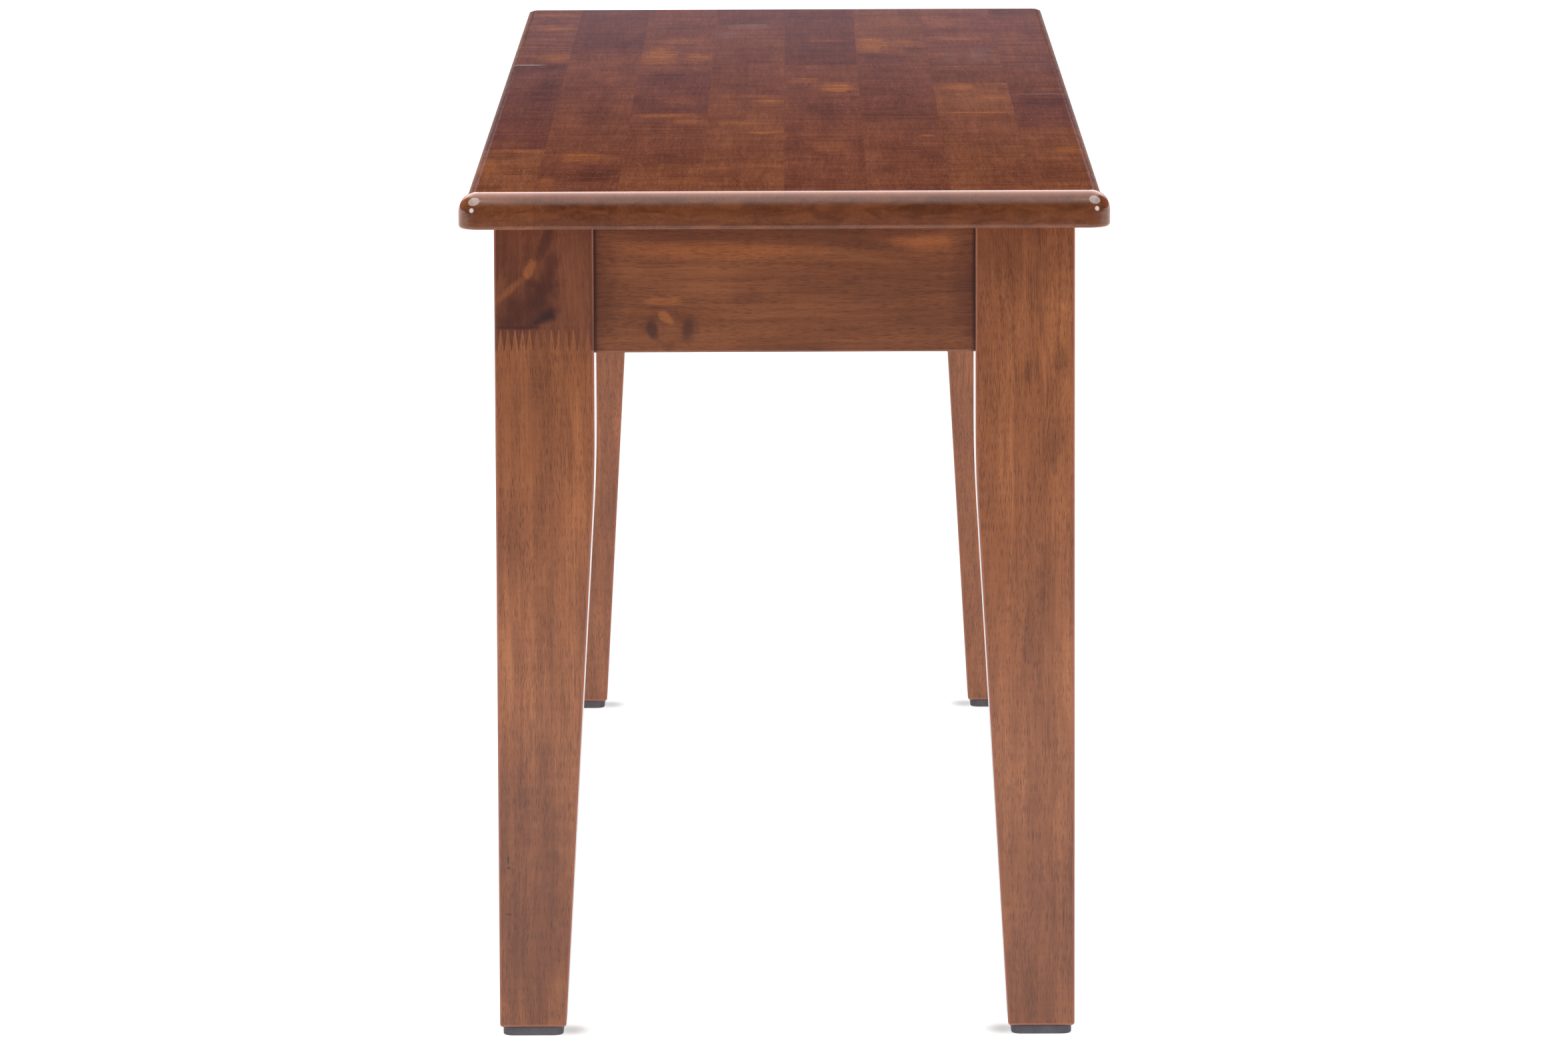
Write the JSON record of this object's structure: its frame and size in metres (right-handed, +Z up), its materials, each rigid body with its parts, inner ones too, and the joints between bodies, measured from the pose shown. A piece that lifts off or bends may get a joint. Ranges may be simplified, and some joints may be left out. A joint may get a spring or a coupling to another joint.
{
  "type": "dining bench",
  "caption": "Backless wooden dining bench: edge-glued stave seat with a rounded edge, on square legs tapered on their inner faces and joined by rails.",
  "frame": {"origin": "on the floor, centred under the seat", "axes": "+X along the bench towards end A, +Z up, and +Y across the bench to its right side as seen by someone who stands at end A and faces the bench"},
  "size_m": [1.219, 0.3556, 0.47],
  "materials": {
    "seat_wood": "stained, satin-gloss lacquer",
    "leg_wood": "stained, satin lacquer",
    "rail_wood": "stained, satin lacquer",
    "inner_wood": "bare, planed",
    "dowel_wood": "bare, turned",
    "pad": "matte",
    "zinc_steel": "zinc plated",
    "screw_steel": "yellow zinc plated"
  },
  "bodies": {
    "root": {"seat_strip_1": "seat_wood", "seat_strip_2": "seat_wood", "seat_strip_3": "seat_wood", "seat_strip_4": "seat_wood", "seat_strip_5": "seat_wood", "seat_strip_6": "seat_wood", "seat_strip_7": "seat_wood", "seat_strip_8": "seat_wood", "leg_a_right": "leg_wood", "leg_a_left": "leg_wood", "leg_b_right": "leg_wood", "leg_b_left": "leg_wood", "leg_a_left_upper": "leg_wood", "side_rail_left": "rail_wood", "side_rail_right": "rail_wood", "end_rail_a": "rail_wood", "end_rail_b": "rail_wood", "cross_brace": "inner_wood", "corner_block_a_right": "inner_wood", "corner_block_a_left": "inner_wood", "corner_block_b_right": "inner_wood", "corner_block_b_left": "inner_wood", "seat_cleat_a_right": "inner_wood", "seat_cleat_a_left": "inner_wood", "seat_cleat_b_right": "inner_wood", "seat_cleat_b_left": "inner_wood", "rail_dowels": "dowel_wood", "brace_dowels": "dowel_wood", "foot_pad_a_right": "pad", "foot_pad_a_left": "pad", "foot_pad_b_right": "pad", "foot_pad_b_left": "pad", "hanger_bolts": "zinc_steel", "bolt_washers": "zinc_steel", "bolt_nuts": "zinc_steel", "block_screws": "screw_steel", "cleat_screws": "screw_steel", "seat_screws": "screw_steel"}
  },
  "joints": []
}
